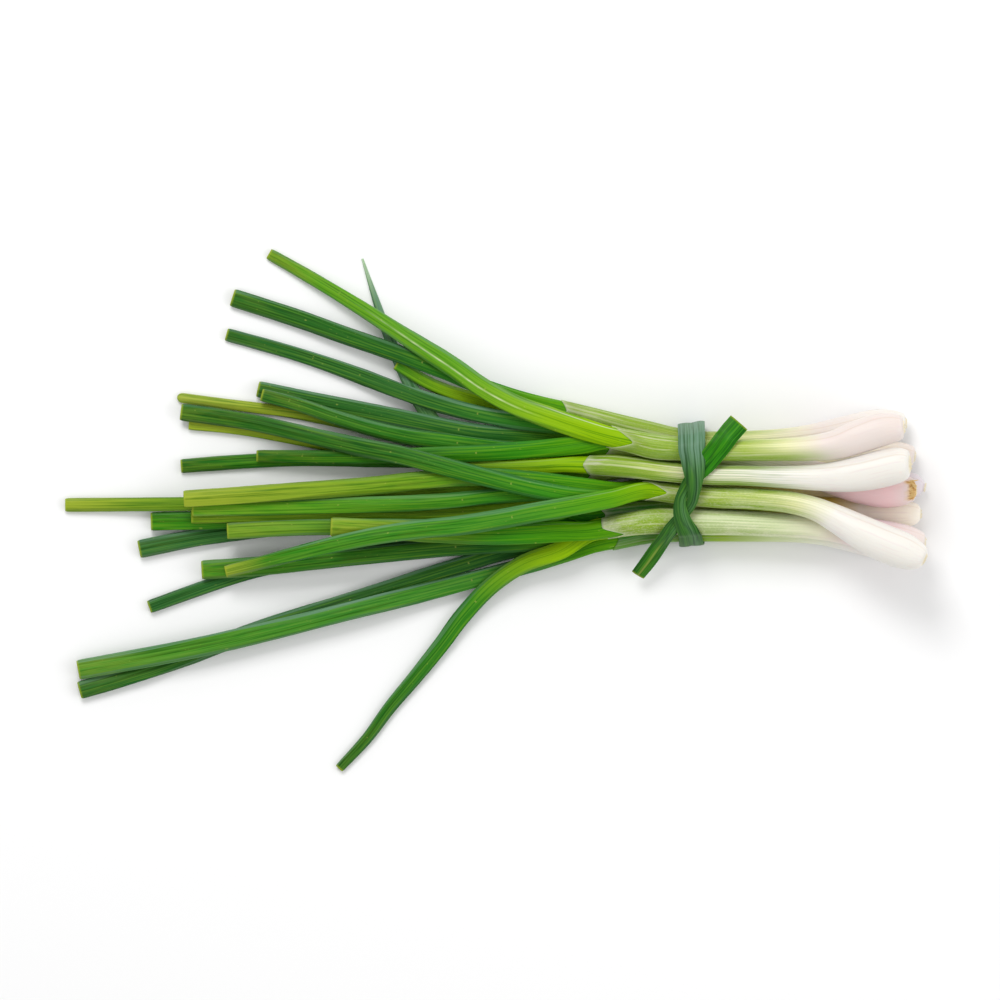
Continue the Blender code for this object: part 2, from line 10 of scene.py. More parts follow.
import bmesh
import bpy
import numpy as np
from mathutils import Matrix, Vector

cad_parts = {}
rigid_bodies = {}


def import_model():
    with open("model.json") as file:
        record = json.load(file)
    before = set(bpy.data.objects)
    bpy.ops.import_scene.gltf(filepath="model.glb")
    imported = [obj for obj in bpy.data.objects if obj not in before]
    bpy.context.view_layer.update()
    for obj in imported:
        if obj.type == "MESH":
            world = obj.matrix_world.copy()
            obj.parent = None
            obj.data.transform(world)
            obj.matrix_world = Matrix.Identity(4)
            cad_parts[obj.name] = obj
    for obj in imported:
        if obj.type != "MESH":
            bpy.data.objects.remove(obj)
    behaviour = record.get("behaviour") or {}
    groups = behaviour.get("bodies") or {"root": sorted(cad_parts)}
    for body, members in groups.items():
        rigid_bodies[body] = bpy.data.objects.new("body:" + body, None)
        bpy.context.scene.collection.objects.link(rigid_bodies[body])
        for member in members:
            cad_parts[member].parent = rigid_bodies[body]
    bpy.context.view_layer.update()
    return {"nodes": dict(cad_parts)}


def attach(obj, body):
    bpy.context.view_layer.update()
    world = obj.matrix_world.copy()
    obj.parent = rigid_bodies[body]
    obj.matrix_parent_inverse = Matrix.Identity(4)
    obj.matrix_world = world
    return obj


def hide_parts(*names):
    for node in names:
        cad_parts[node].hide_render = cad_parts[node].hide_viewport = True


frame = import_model()

MM = 0.001

# The view, in metres: straight down from far off, as the photograph was taken
VIEW_CENTRE = (0.002, 0.0044)
VIEW_WIDTH = 0.4
VIEW_PLANE = 0.012
CAMERA_HEIGHT = 4.0
FARTHEST = 100.0
SENSOR_MM = 36.0

# The studio: each lamp's place and size in metres and its power, the sky's strength, and the floor
LAMPS = {"key": ((-0.3, 0.9, 1.1), 0.6, 10.0), "fill": ((1.1, -0.25, 0.9), 0.9, 4.2)}
SKY_STRENGTH = 0.72
FLOOR_SIZE = 6.0
FLOOR_DROP = 0.0001
FLOOR_GREY = 0.9

# The corners that the sections of the solids have
STEM_SIDES = 10
LEAF_SIDES = 8

# The points round each kind of skin, the step between its sections, and its veins and their height.
# These and all sizes below are in millimetres, and angles are in radians where nothing else is said.
SKIN_SIDES = {"stem": 120, "leaf": 96, "tie": 56}
SKIN_STEP = {"stem": 1.6, "leaf": 2.4, "tie": 0.8}
VEINS = {"stem": 30, "leaf": 24, "tie": 34}
VEIN_HEIGHT = {"stem": 0.035, "leaf": 0.05, "tie": 0.02}

# How far a skin stays off the floor
FLOOR_GAP = 0.05

# How much longer a leaf's skin is than its solid, and where its last sections lie before its end
LONGER_END = 0.7
END_STEPS = (3.0, 2.2, 1.5, 0.9, 0.5, 0.25, 0.08, 0.0)

# A cut end: how far its top leans back, its wall, the hollow's depth, and how far in and how deep each
# section of its inside lies, as shares of the wall and of the depth
CUT_LEAN = 0.07
CUT_WALL = 0.55
CUT_DEPTH = 6.5
CUT_PROFILE = ((0.35, -0.015), (0.75, -0.01), (1.0, 0.03), (1.05, 0.15), (1.2, 0.5), (1.6, 1.0))

# How far the uppermost leaf reaches into its sheath, and its size there as a share of the sheath's
TUCKED_LENGTH = 12.0
TUCKED_STEP = 1.2
UNDER_SKIN = 0.93

# A sheath's mouth: the length and the sections that bend to its edge, its wall, and how deep in millimetres
# and how far in, as a share of the wall, each section of its inside lies
MOUTH_LENGTH = 10
MOUTH_SECTIONS = 15
LIP_THICKNESS = 0.28
LIP_PROFILE = ((0.05, 0.5), (0.6, 1.0), (3.0, 1.3), (7.0, 1.5))

# A bulb's end: its closest sections, and those of its root plate from the middle outwards, as shares of the
# end's size and with their reach past it
BULB_END = (0, 0.25, 0.55, 0.9)
PLATE_PROFILE = (
    (0.3, 0.85), (0.46, 0.95), (0.54, 0.9), (0.6, 0.72), (0.72, 0.6), (0.84, 0.42), (0.94, 0.2))
PLATE_REACH = 0.8

# The trimmed roots of each bulb and the dried tuft of one, and the thickness and length of one root
ROOTS = 22
ROOT_SIZE = (0.36, 0.5)
TUFT_ROOTS = 34
TUFT_ROOT_SIZE = (0.24, 1.7)

# The tie leaf's half thickness, and how far it flares at its upper and its lower turn
TIE_HALF_THICKNESS = 0.6
TIE_FLARES = (1.2, 0.8)

# Where things fade in or out: along a leaf from its collar, a stem from its root end, and the tie from its
# lower free end
SPANS = {
    "settled": (0, 18), "out of sheath": (-1, 11), "grown": (12, 55), "groove fades": (40, 130),
    "rib line": (34, 56), "rib line fades": (84, 128), "edge line": (2, 8), "edge line fades": (26, 48),
    "yellowing": (30, 90),
    "bulb fades": (30, 62), "stripes": (34, 74), "speckles": (30, 50), "stem veins": (8, 40),
    "widened": (14, 28), "widened fades": (62, 76),
    "tie band": (26, 36), "tie bloom": (10, 34), "margin fades": (12, 22), "fresh fades": (10, 30),
    "first cut fades": (0, 0.7),
}

# The same, as distances from the other end
END_SPANS = {
    "cut draws in": (1.3, 0), "cut leans": (7, 0), "cut": (0.7, 0.1), "veins fade": (3, 0.5),
    "yellow tip": (34, 2), "broad": (62, 34), "broad fades": (18, 0),
    "tie band fades": (46, 36), "tie bloom fades": (46, 26), "fresh": (36, 20), "last cut": (0.7, 0),
}

COLOURS = {
    "deep green": (22, 92, 12),
    "blue green": (38, 100, 40),
    "leaf green": (42, 126, 4),
    "mid green": (74, 138, 18),
    "fresh green": (84, 150, 8),
    "lime": (136, 178, 4),
    "olive": (104, 146, 22),
    "straw": (150, 166, 46),
    "dull straw": (162, 174, 76),
    "grey green": (104, 140, 114),
    "soft green": (92, 152, 74),
    "tip green": (190, 212, 180),
    "tie green": (48, 104, 26),
    "tie crease shade": (12, 46, 18),
    "tie film": (106, 140, 118),
    "pale green": (140, 168, 44),
    "faint green": (176, 192, 88),
    "milk green": (208, 218, 172),
    "cream": (222, 222, 168),
    "ivory": (232, 230, 204),
    "white": (231, 228, 221),
    "rose white": (226, 215, 209),
    "blush": (220, 193, 200),
    "pink": (242, 208, 210),
    "lavender": (222, 214, 220),
    "beige": (253, 241, 226),
    "sap brown": (222, 196, 92),
    "membrane and highlight": (222, 228, 186),
    "root beige": (236, 226, 198),
    "root brown": (186, 136, 66),
    "root gold": (222, 190, 128),
}

# Colours of each leaf, at shares of its length from the collar, then how much grey waxy coat with painted
# sheen on its edges, and how much yellowing it has. The first and the last colour go on to the ends.
LEAF_LOOKS = {
    "onion_01_leaf_1": ({0: "fresh green", 0.2: "deep green"}, 0.7, 0.15),
    "onion_01_leaf_2": (
        {0: "fresh green", 0.25: "leaf green", 0.6: "leaf green", 1: "mid green"}, 1.0, 0.3),
    "onion_02_leaf_1": ({0: "leaf green", 0.3: "deep green", 1: "blue green"}, 0.7, 0.05),
    "onion_02_leaf_2": ({0: "leaf green", 0.3: "deep green", 1: "blue green"}, 0.8, 0.1),
    "onion_02_leaf_3": ({0: "leaf green"}, 0.3, 0.12),
    "onion_03_leaf_1": ({0: "fresh green", 0.3: "olive", 0.8: "olive", 1: "straw"}, 0.2, 0.5),
    "onion_03_leaf_2": ({0: "fresh green", 0.4: "olive", 0.8: "straw", 1: "dull straw"}, 0.1, 0.7),
    "onion_03_leaf_3": (
        {0.3: "fresh green", 0.45: "soft green", 0.7: "grey green", 0.88: "grey green", 1: "tip green"},
        0.3, 0.0),
    "onion_04_leaf_1": ({0.6: "lime", 1: "leaf green"}, 0.3, 0.2),
    "onion_04_leaf_2": ({0: "fresh green", 0.3: "leaf green", 0.5: "deep green"}, 0.5, 0.1),
    "onion_05_leaf_1": ({0: "lime", 0.3: "olive"}, 0.1, 0.5),
    "onion_05_leaf_2": ({0: "fresh green", 0.3: "leaf green", 1: "olive"}, 0.6, 0.3),
    "onion_05_leaf_3": ({0: "fresh green", 0.3: "leaf green", 1: "fresh green"}, 0.4, 0.4),
    "onion_06_leaf_1": ({0: "fresh green", 0.3: "deep green", 1: "leaf green"}, 0.5, 0.3),
    "onion_06_leaf_2": ({0.2: "lime", 0.42: "leaf green", 1: "deep green"}, 0.5, 0.15),
    "onion_06_leaf_3": ({0: "fresh green", 0.4: "leaf green", 0.7: "olive"}, 0.3, 0.6),
    "onion_07_leaf_1": ({0: "fresh green", 0.3: "deep green"}, 0.7, 0.1),
    "onion_07_leaf_2": ({0: "fresh green", 0.3: "leaf green", 1: "deep green"}, 0.5, 0.2),
    "onion_08_leaf_1": ({0: "fresh green", 0.3: "leaf green", 0.6: "olive", 1: "straw"}, 0.2, 0.7),
    "onion_08_leaf_2": ({0: "fresh green", 0.25: "leaf green", 0.6: "deep green"}, 0.4, 0.2),
    "onion_08_leaf_3": (
        {0: "lime", 0.12: "fresh green", 0.35: "leaf green", 0.9: "leaf green", 1: "straw"}, 0.6, 0.3),
    "onion_09_leaf_1": ({0: "lime", 0.3: "leaf green", 0.7: "leaf green", 1: "deep green"}, 0.3, 0.2),
    "onion_09_leaf_2": ({0: "lime", 0.3: "olive", 1: "straw"}, 0.1, 0.5),
    "onion_10_leaf_1": ({0: "fresh green", 0.2: "leaf green", 0.5: "deep green"}, 0.8, 0.1),
    "onion_10_leaf_2": ({0: "fresh green", 0.3: "leaf green", 1: "deep green"}, 0.15, 0.2),
    "onion_10_leaf_3": ({0.2: "lime", 0.45: "fresh green", 0.85: "fresh green", 1: "olive"}, 0.5, 0.3),
}
POINTED_LEAF = "onion_03_leaf_3"
ROUNDED_LEAF = "onion_03_leaf_2"
ROUNDED_LENGTH = 2.2

# How pale the line is along the middle of a leaf, partly a pale keel and partly a painted highlight, and
# along its upper edge next to the collar
PALE_LINES = {
    "onion_08_leaf_3": (0.0, 0.2), "onion_10_leaf_1": (0.0, 0.4), "onion_10_leaf_3": (0.75, 0.75),
}
PLAIN_EDGE_LINE = 0.12

# Colours of each bulb and stem, by distance from its root end, then how striped and how speckled the stem
# is, and how far its lower and its upper side turn to olive
STEM_LOOKS = {
    "onion_01": (
        {0: "rose white", 30: "white", 60: "milk green", 80: "pale green", 94: "fresh green",
         110: "leaf green"}, 0.1, 0.0, 0.3, 0.2),
    "onion_02": ({24: "beige", 36: "sap brown", 90: "pale green", 108: "leaf green"}, 0.5, 0.2, 0.4, 0.3),
    "onion_03": (
        {0: "rose white", 30: "ivory", 60: "cream", 84: "faint green", 125: "pale green"},
        0.5, 0.2, 0.4, 0.3),
    "onion_04": (
        {0: "white", 34: "rose white", 60: "cream", 80: "faint green", 104: "pale green"},
        0.7, 0.2, 0.8, 0.4),
    "onion_05": (
        {0: "lavender", 30: "rose white", 56: "sap brown", 90: "pale green", 108: "leaf green"},
        0.5, 0.2, 0.4, 0.3),
    "onion_06": (
        {0: "rose white", 24: "blush", 42: "ivory", 60: "milk green", 88: "milk green", 106: "pale green"},
        0.6, 0.7, 0.7, 0.1),
    "onion_07": (
        {0: "rose white", 10: "pink", 28: "pink", 42: "rose white", 64: "ivory", 88: "faint green",
         112: "pale green"}, 0.5, 0.2, 0.15, 0.1),
    "onion_08": ({40: "white", 56: "cream", 74: "faint green", 110: "pale green"}, 0.75, 0.45, 0.8, 1.0),
    "onion_09": (
        {56: "white", 80: "ivory", 92: "cream", 102: "faint green", 118: "pale green"},
        1.0, 0.1, 0.65, 0.5),
    "onion_10": ({32: "rose white", 48: "cream", 64: "faint green", 86: "pale green"}, 0.8, 0.15, 1.0, 0.1),
}
TUFTED_BULB = "onion_07"

# Where the olive sides of a stem begin and where they reach their full strength
OLIVE_FROM = {"onion_06": (54, 86), "onion_10": (20, 50)}
PLAIN_OLIVE_FROM = (40, 72)

# How far the root cut leans back at the top of each bulb
ROOT_CUTS = {"onion_09": 2.2, "onion_08": 1.2, "onion_10": 0.8}
PLAIN_ROOT_CUT = 0.5

# How much wider a stem is just before the tie than its solid
WIDENED = {"onion_02": 0.14, "onion_05": 0.1, "onion_07": 0.08}

# How much the end of a bulb draws in to its root plate
DRAWN_IN = {"onion_05": 0.6, "onion_02": 0.3}
PLAIN_DRAWN_IN = 0.16

# How far each sheath opens past its collar at the sides and at the notch on its upper side, and the notch's
# middle and half-width in degrees
MOUTHS = {
    "onion_06": (2.0, -7.0, 142, 52),
    "onion_08": (8.0, -2.5, 92, 78),
    "onion_09": (-2.0, 1.0, 90, 80),
    "onion_10": (8.5, -2.5, 95, 78),
}
PLAIN_MOUTH = (3.5, 0.0, 90, 70)

# How pale the edge of a sheath's mouth is
PALE_EDGES = {"onion_01": 0.05, "onion_10": 0.42}
PLAIN_PALE_EDGE = 0.58

# The number of the leaf that leaves each collar uppermost
UPPERMOST = {
    "onion_01": 2, "onion_02": 3, "onion_03": 3, "onion_04": 2, "onion_05": 3,
    "onion_06": 3, "onion_07": 2, "onion_08": 3, "onion_09": 2, "onion_10": 3,
}


def linear(name):
    """The linear colour of a screen colour's name."""
    share = np.array(COLOURS[name]) / 255
    return np.where(share <= 0.04045, share / 12.92, ((share + 0.055) / 1.055) ** 2.4)


def stops_at(stops, places):
    """Colours between named stops, one row to a place."""
    colours = np.array([linear(name) for name in stops.values()])
    return np.column_stack([np.interp(places, list(stops), channel) for channel in colours.T])


def cap_ring(shape, sides, towards):
    """The corner points of the flat cap that lies farthest along x, or against it."""
    shape.faces.ensure_lookup_table()
    seen = set()
    caps = []
    for face in shape.faces:
        if face in seen:
            continue
        group = [face]
        seen.add(face)
        for member in group:
            for edge in member.edges:
                for other in edge.link_faces:
                    if other not in seen and other.normal.dot(face.normal) > 0.99999:
                        seen.add(other)
                        group.append(other)
        if len(group) == sides - 2:
            corners = {vertex for member in group for vertex in member.verts}
            if len(corners) == sides:
                caps.append(corners)
    return max(caps, key=lambda corners: towards * sum(vertex.co.x for vertex in corners))


def rings_of(node, sides, towards=1):
    """The node's sections in millimetres, one after another from its first cap."""
    shape = bmesh.new()
    shape.from_mesh(frame["nodes"][node].data)
    bmesh.ops.remove_doubles(shape, verts=shape.verts, dist=1e-5)
    shape.normal_update()
    ring = cap_ring(shape, sides, towards)
    seen = set(ring)
    rings = []
    while ring:
        rings.append(np.array([vertex.co[:] for vertex in ring]) / MM)
        ring = {edge.other_vert(vertex) for vertex in ring for edge in vertex.link_edges} - seen
        seen |= ring
    shape.free()
    assert all(len(ring) == sides for ring in rings), node
    return rings


def unit(vectors):
    return vectors / np.linalg.norm(vectors, axis=-1, keepdims=True)


def smooth_rows(rows, slopes, place, wanted):
    """Rows at wanted places on a smooth curve through the given rows, and how fast they change there."""
    span = np.clip(np.searchsorted(place, wanted, "right") - 1, 0, len(rows) - 2)
    length = np.diff(place)[span][:, None]
    t = (wanted - place[span])[:, None] / length
    found = (
        (2 * t**3 - 3 * t**2 + 1) * rows[span]
        + (t**3 - 2 * t**2 + t) * length * slopes[span]
        + (3 * t**2 - 2 * t**3) * rows[span + 1]
        + (t**3 - t**2) * length * slopes[span + 1]
    )
    change = (
        (6 * t**2 - 6 * t) * (rows[span] - rows[span + 1]) / length
        + (3 * t**2 - 4 * t + 1) * slopes[span]
        + (3 * t**2 - 2 * t) * slopes[span + 1]
    )
    return found, change


class Run:
    """A piece's centre line, half-widths and half-heights, and the distance along it, in millimetres."""

    def __init__(self, centre, half_width, half_height):
        self.centre = centre
        self.half_width = half_width
        self.half_height = half_height
        self.distance = np.concatenate([[0.0], np.cumsum(np.hypot(*np.diff(centre[:, :2], axis=0).T))])
        self.length = self.distance[-1]

    def at(self, places):
        """Smooth centre, half-width, half-height and sideways direction at places, also past either end."""
        rows = np.column_stack([self.centre, self.half_width, self.half_height])
        slopes = np.gradient(rows, self.distance, axis=0)
        shape = np.shape(places)
        places = np.ravel(places)
        inside = np.clip(places, 0, self.length)
        found, change = smooth_rows(rows, slopes, self.distance, inside)
        heading = change[:, :3]
        found[:, :3] += heading * (places - inside)[:, None]
        side = unit(np.column_stack([heading[:, 1], -heading[:, 0], np.zeros(len(heading))]))
        return (
            found[:, :3].reshape(*shape, 3),
            found[:, 3].reshape(shape),
            found[:, 4].reshape(shape),
            side.reshape(*shape, 3),
        )


def run_of(rings, sides):
    """The run through a solid's sections."""
    centre = np.array([ring.mean(axis=0) for ring in rings])
    steps = np.gradient(centre[:, :2], axis=0)
    side = unit(np.column_stack([steps[:, 1], -steps[:, 0]]))
    widths = [np.ptp(ring[:, :2] @ across) / 2 for ring, across in zip(rings, side)]
    tallest = np.sin(2 * np.pi * np.arange(sides) / sides).max()
    heights = [np.ptp(ring[:, 2]) / 2 / tallest for ring in rings]
    return Run(centre, np.array(widths), np.array(heights))


class Value:
    """A socket of a node tree. Sums and products of values add the nodes that work them out."""

    def __init__(self, tree, socket):
        self.tree, self.socket = tree, socket

    def combined(self, operation, *operands):
        return self.tree.add("ShaderNodeMath", {"operation": operation}, dict(enumerate(operands)))

    def __add__(self, other):
        return self.combined("ADD", self, other)

    __radd__ = __add__

    def __mul__(self, other):
        return self.combined("MULTIPLY", self, other)

    __rmul__ = __mul__

    def __rsub__(self, other):
        return self.combined("SUBTRACT", other, self)

    def clipped(self):
        return self.tree.add("ShaderNodeClamp", {}, {0: self})

    def between(self, low, high):
        """0 below low, 1 above high and smooth between them."""
        settings = {"interpolation_type": "SMOOTHSTEP"}
        sockets = {"Value": self, "From Min": low, "From Max": high}
        return self.tree.add("ShaderNodeMapRange", settings, sockets)


class Tree:
    """A node tree and the one way that nodes are added to it."""

    def __init__(self, tree):
        self.tree = tree

    def add(self, kind, settings=None, sockets=None, out=0):
        node = self.tree.nodes.new(kind)
        for name, value in (settings or {}).items():
            setattr(node, name, value)
        for key, value in (sockets or {}).items():
            if isinstance(value, Value):
                self.tree.links.new(value.socket, node.inputs[key])
            else:
                node.inputs[key].default_value = value
        return Value(self, node.outputs[out])

    def mix(self, share, first, second, blend="MIX"):
        """The first colour at share 0 and the second at share 1, each a value or a colour's name."""
        settings = {"data_type": "RGBA", "blend_type": blend, "clamp_factor": True}
        first, second = (colour(given) if isinstance(given, str) else given for given in (first, second))
        return self.add("ShaderNodeMix", settings, {0: share, 6: first, 7: second}, 2)

    def attribute(self, name, out="Fac"):
        return self.add("ShaderNodeAttribute", {"attribute_name": name}, {}, out)

    def streaks(self, along, across, detail=2.0, shift=0.0):
        """Noise drawn out along the piece. along and across are in waves to the metre."""
        place = self.attribute("run", "Vector")
        scaled = self.add("ShaderNodeVectorMath", {"operation": "MULTIPLY_ADD"},
                          {0: place, 1: (along, across, across), 2: (shift, shift, shift)})
        return self.add("ShaderNodeTexNoise", {}, {"Vector": scaled, "Scale": 1.0, "Detail": detail})

    def bump(self, height, strength):
        """The normal that a height, in shares of 0.2 mm, gives the surface."""
        sockets = {"Strength": strength, "Distance": 0.2 * MM, "Height": height}
        return self.add("ShaderNodeBump", {}, sockets)


def colour(name):
    """A named colour as a socket takes it."""
    return (*map(float, linear(name)), 1.0)


def material_tree(name):
    """A new material, its tree and its shader."""
    material = bpy.data.materials.new(name)
    material.use_nodes = True
    tree = Tree(material.node_tree)
    return material, tree, material.node_tree.nodes["Principled BSDF"]


def feed(shader, **sockets):
    """Sets or links the shader's sockets, whose names have _ for a space."""
    for name, value in sockets.items():
        socket = shader.inputs[name.replace("_", " ")]
        if isinstance(value, Value):
            value.tree.tree.links.new(value.socket, socket)
        else:
            socket.default_value = value


def plain_material(name, tint, roughness):
    """A material with one colour all over."""
    material, _, shader = material_tree(name)
    feed(shader, Base_Color=tint, Roughness=roughness)
    return material


def fibred(tree, tone, broad, fine, depth, lightness):
    """The tone with darker and lighter threads from two kinds of streaks, and its darker self."""
    deeper = tree.mix(1.0, tone, depth, "MULTIPLY")
    threads = broad.between(0.34, 0.66) * 0.35 + fine.between(0.34, 0.66) * 0.65
    body = tree.mix(threads.between(0.05, 0.6), deeper, tone)
    return tree.mix(threads.between(0.5, 1.0) * lightness, body, "lime"), deeper


def leaf_material(name):
    """Green fibres under a grey waxy coat, painted sheen and shade, turning to straw in streaks."""
    material, tree, shader = material_tree(name)
    tone = tree.attribute("tone", "Color")
    bloom_and_sheen = tree.attribute("bloom_and_sheen")
    broad = tree.streaks(8, 560, 2.0)
    fine = tree.streaks(24, 1900, 4.0, 7.0)
    blotch = tree.streaks(90, 800, 3.0, 3.0)
    body, deeper = fibred(tree, tone, broad, fine, (0.34, 0.54, 0.3, 1.0), 0.22)
    # Painted shade along the leaf's lower side, away from the light
    body = tree.mix(tree.attribute("shade"), body, deeper)
    yellowed = (tree.attribute("yellowing") * blotch.between(0.25, 0.68)).clipped()
    body = tree.mix(yellowed, body, "straw")
    body = tree.mix((1.0 - blotch.between(0.28, 0.44)) * 0.12, body, deeper)
    speck = tree.streaks(700, 1100, 0.0, 11.0).between(0.77, 0.83) * blotch.between(0.5, 0.6)
    body = tree.mix(speck * 0.45, body, "dull straw")
    # Painted sheen: the streaked grey coat, lighter along the edges that the light catches
    film_and_sheen = bloom_and_sheen * (fine.between(0.3, 0.6) * 0.55 + broad.between(0.3, 0.6) * 0.45)
    body = tree.mix(film_and_sheen, body, "grey green")
    # Pale lines: real pale margins, and on the keel partly a painted highlight
    body = tree.mix(tree.attribute("margin"), body, "membrane and highlight")
    # Painted shade: the wall inside the hollow end turns deep green
    body = tree.mix(tree.attribute("inside"), body, "deep green")
    body = tree.mix(tree.attribute("cut"), body, "straw")
    roughness = (fine * 0.2 + 0.3) + bloom_and_sheen * 0.1
    feed(shader, Base_Color=body, Roughness=roughness, Normal=tree.bump(fine + broad, 0.35))
    feed(shader, IOR=1.4, Specular_IOR_Level=0.09)
    feed(shader, Subsurface_Weight=0.06, Subsurface_Scale=0.0015, Subsurface_Radius=(1.0, 1.0, 0.6))
    return material


def stem_material(name):
    """Silky sheath with green ribs and stripes, the papery layer's edge, and the root end."""
    material, tree, shader = material_tree(name)
    tone = tree.attribute("tone", "Color")
    stripe = tree.attribute("stripe")
    speckle = tree.attribute("speckle")
    plate = tree.attribute("plate")
    broad = tree.streaks(5, 420, 2.0)
    fine = tree.streaks(14, 1300, 3.0, 5.0)
    spots = tree.streaks(1100, 2100, 2.0, 2.0)
    dull = tree.streaks(60, 300, 2.0, 9.0)
    across = tree.attribute("turn") * (2 * np.pi * VEINS["stem"]) + tree.streaks(9, 130, 1.0, 2.0) * 14.0
    rib = across.combined("SINE", across)
    greener = tree.mix(0.4, "pale green", "olive")
    body = tree.mix(tree.attribute("olive"), tone, greener)
    body = tree.mix(stripe * broad.between(0.46, 0.6) * 0.8, body, greener)
    body = tree.mix(stripe * fine.between(0.5, 0.66) * 0.6, body, "olive")
    body = tree.mix(stripe * rib.between(0.1, 0.9) * (dull * 0.9), body, "olive")
    body = tree.mix(stripe * (1.0 - fine.between(0.36, 0.48)) * 0.45, body, "ivory")
    dew = spots.between(0.46, 0.7) * 0.3 + dull.between(0.45, 0.65) * 0.4
    body = tree.mix(speckle * dew, body, "ivory")
    body = tree.mix((1.0 - stripe) * fine.between(0.5, 0.72) * 0.2, body, "blush")
    body = tree.mix(tree.attribute("edge") * 0.35, body, "root brown")
    body = tree.mix(tree.attribute("lip"), body, "membrane and highlight")
    trimmed = tree.mix(spots.between(0.5, 0.7) * 0.25, "root beige", "root brown")
    body = tree.mix(plate, body, trimmed)
    rind = tree.mix(fine.between(0.4, 0.6), "root brown", "root gold")
    body = tree.mix(tree.attribute("scab"), body, rind)
    roughness = fine * 0.15 + 0.3 + plate * 0.3
    feed(shader, Base_Color=body, Roughness=roughness, Normal=tree.bump(fine + broad + spots * 0.3, 0.3))
    feed(shader, IOR=1.4, Specular_IOR_Level=0.35)
    feed(shader, Subsurface_Weight=0.45, Subsurface_Scale=0.005, Subsurface_Radius=(1.0, 0.92, 0.8))
    return material


def tie_material(name):
    """A flat leaf's fibres under a grey coat with a painted highlight, and painted shade in its creases."""
    material, tree, shader = material_tree(name)
    broad = tree.streaks(14, 600, 2.0)
    fine = tree.streaks(40, 1900, 4.0, 4.0)
    tone = tree.mix(tree.attribute("fresh"), "tie green", "leaf green")
    body, deeper = fibred(tree, tone, broad, fine, (0.3, 0.42, 0.34, 1.0), 0.14)
    # Painted shade in the tie's creases, towards a near-black green
    body = tree.mix(tree.attribute("shade"), body, tree.mix(0.5, deeper, "tie crease shade"))
    # The grey coat, which carries the painted highlight on the tie's upper part
    film_and_sheen = tree.attribute("bloom_and_sheen") * (fine.between(0.35, 0.6) * 0.7 + broad.between(0.3, 0.6) * 0.4)
    body = tree.mix(film_and_sheen.clipped(), body, "tie film")
    body = tree.mix(tree.attribute("margin"), body, "dull straw")
    body = tree.mix(tree.attribute("cut"), body, "straw")
    feed(shader, Base_Color=body, Roughness=fine * 0.2 + 0.34, Normal=tree.bump(fine + broad, 0.45))
    feed(shader, IOR=1.4, Specular_IOR_Level=0.2)
    return material


def geometry_tree(name, inputs):
    """A tree with a Geometry input and output and the named inputs, each with its kind."""
    group = bpy.data.node_groups.new(name, "GeometryNodeTree")
    group.interface.new_socket("Geometry", in_out="INPUT", socket_type="NodeSocketGeometry")
    for key, kind in inputs.items():
        group.interface.new_socket(key, in_out="INPUT", socket_type="NodeSocket" + kind)
    group.interface.new_socket("Geometry", in_out="OUTPUT", socket_type="NodeSocketGeometry")
    tree = Tree(group)
    start = group.nodes.new("NodeGroupInput")
    given = {socket.name: Value(tree, socket) for socket in start.outputs if socket.name}
    return group, tree, given


def end_tree(group, tree, geometry, material):
    """Makes the geometry real, gives it the material and hands it out."""
    real = tree.add("GeometryNodeRealizeInstances", {}, {"Geometry": geometry})
    dressed = tree.add("GeometryNodeSetMaterial", {}, {"Geometry": real, "Material": material})
    end = group.nodes.new("NodeGroupOutput")
    group.links.new(dressed.socket, end.inputs["Geometry"])


def vein_tree():
    """Raises even veins along a skin, whose turn attribute runs from 0 to 1 round each section."""
    inputs = {"Veins": "Float", "Height": "Float", "Material": "Material"}
    group, tree, given = geometry_tree("raised veins", inputs)

    def named(name, kind="FLOAT"):
        return tree.add("GeometryNodeInputNamedAttribute", {"data_type": kind}, {"Name": name})

    phase = named("turn") * given["Veins"] * (2 * np.pi)
    wave = phase.combined("COSINE", phase)
    place = tree.add("ShaderNodeVectorMath", {"operation": "MULTIPLY"},
                     {0: named("run", "FLOAT_VECTOR"), 1: (30.0, 300.0, 300.0)})
    uneven = tree.add("ShaderNodeTexNoise", {}, {"Vector": place, "Scale": 1.0, "Detail": 2.0})
    rise = (wave * 0.6 + uneven) * given["Height"] * named("veined")
    normal = tree.add("GeometryNodeInputNormal")
    offset = tree.add("ShaderNodeVectorMath", {"operation": "SCALE"}, {0: normal, "Scale": rise})
    moved = tree.add("GeometryNodeSetPosition", {}, {"Geometry": given["Geometry"], "Offset": offset})
    end_tree(group, tree, moved, given["Material"])
    return group


def root_tree():
    """Sets a short tapered root on each point, along the point's heading attribute."""
    inputs = {"Thickness": "Float", "Length": "Float", "Seed": "Int", "Material": "Material"}
    group, tree, given = geometry_tree("short roots", inputs)
    root = tree.add("GeometryNodeMeshCone", {}, {
        "Vertices": 9, "Side Segments": 4, "Radius Top": given["Thickness"] * 0.4,
        "Radius Bottom": given["Thickness"], "Depth": given["Length"]})
    vector = {"data_type": "FLOAT_VECTOR"}
    heading = tree.add("GeometryNodeInputNamedAttribute", vector, {"Name": "heading"})
    turned = tree.add("FunctionNodeAlignRotationToVector", {"axis": "Z"}, {"Vector": heading})
    sizes = {2: 0.55, 3: 1.3, "Seed": given["Seed"]}
    size = tree.add("FunctionNodeRandomValue", {"data_type": "FLOAT"}, sizes, 1)
    rooted = tree.add("GeometryNodeInstanceOnPoints", {}, {
        "Points": given["Geometry"], "Instance": root, "Rotation": turned, "Scale": size})
    end_tree(group, tree, rooted, given["Material"])
    return group


